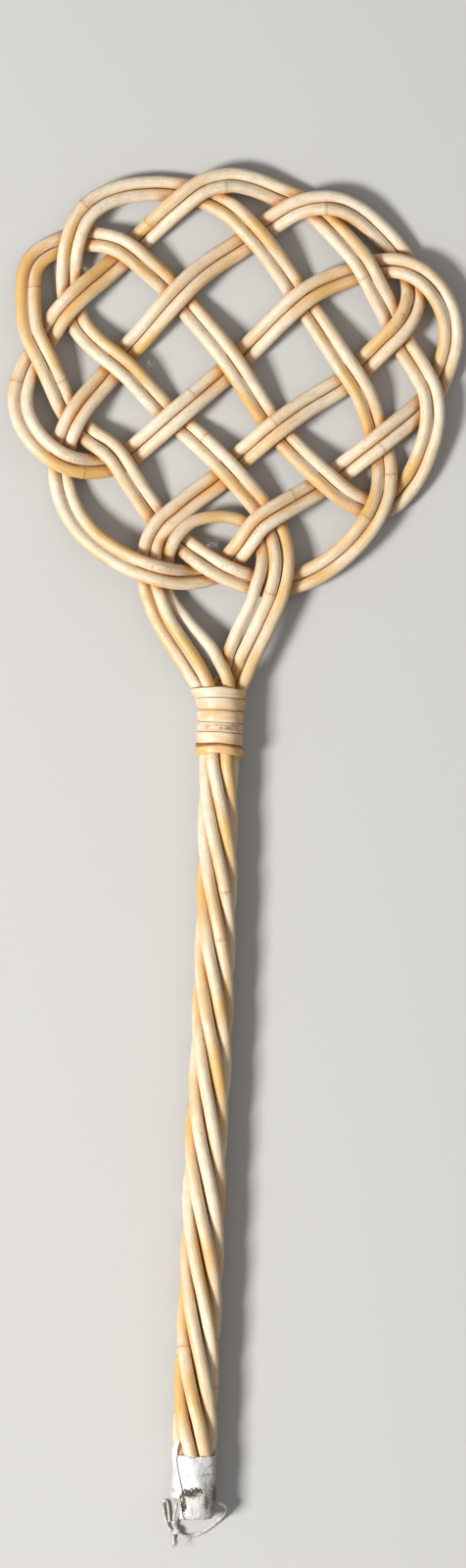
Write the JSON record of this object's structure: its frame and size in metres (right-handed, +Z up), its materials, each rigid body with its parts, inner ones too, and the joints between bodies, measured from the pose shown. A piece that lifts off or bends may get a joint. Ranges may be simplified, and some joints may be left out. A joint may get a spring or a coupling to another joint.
{
  "type": "carpet beater",
  "caption": "Carpet beater of peeled rattan: canes woven into an open knot, bound at the neck and laid round a core as the handle, with a hanging string at the taped butt.",
  "frame": {"origin": "bottom centre of the bounding box of the beater without its string, lying on its back", "axes": "+Y along the handle towards the head, +Z up out of the face of the head, +X to the right seen from above"},
  "size_m": [0.2556, 0.7772, 0.0264],
  "materials": {
    "peeled_rattan": "satin peeled rattan",
    "core_rattan": "matte rattan core",
    "binding_cane": "satin cane strip",
    "adhesive_tape": "matte cloth tape",
    "cotton_string": "matte twisted string"
  },
  "bodies": {
    "beater": {"outer_cane": "peeled_rattan", "middle_cane": "peeled_rattan", "loop_cane": "peeled_rattan", "handle_core": "core_rattan", "neck_binding": "binding_cane", "end_tape": "adhesive_tape"},
    "hanging_loop": {"hanging_cord": "cotton_string", "cord_knot": "cotton_string", "cord_ear": "cotton_string", "cord_tail": "cotton_string"}
  },
  "joints": [
    {"name": "hanging_loop_swing", "type": "hinge", "parent": "beater", "child": "hanging_loop", "pos_m": [-0.00242, -0.37119, 0.01344], "axis": [1, 0, 0], "range_deg": [-110, 50]}
  ]
}
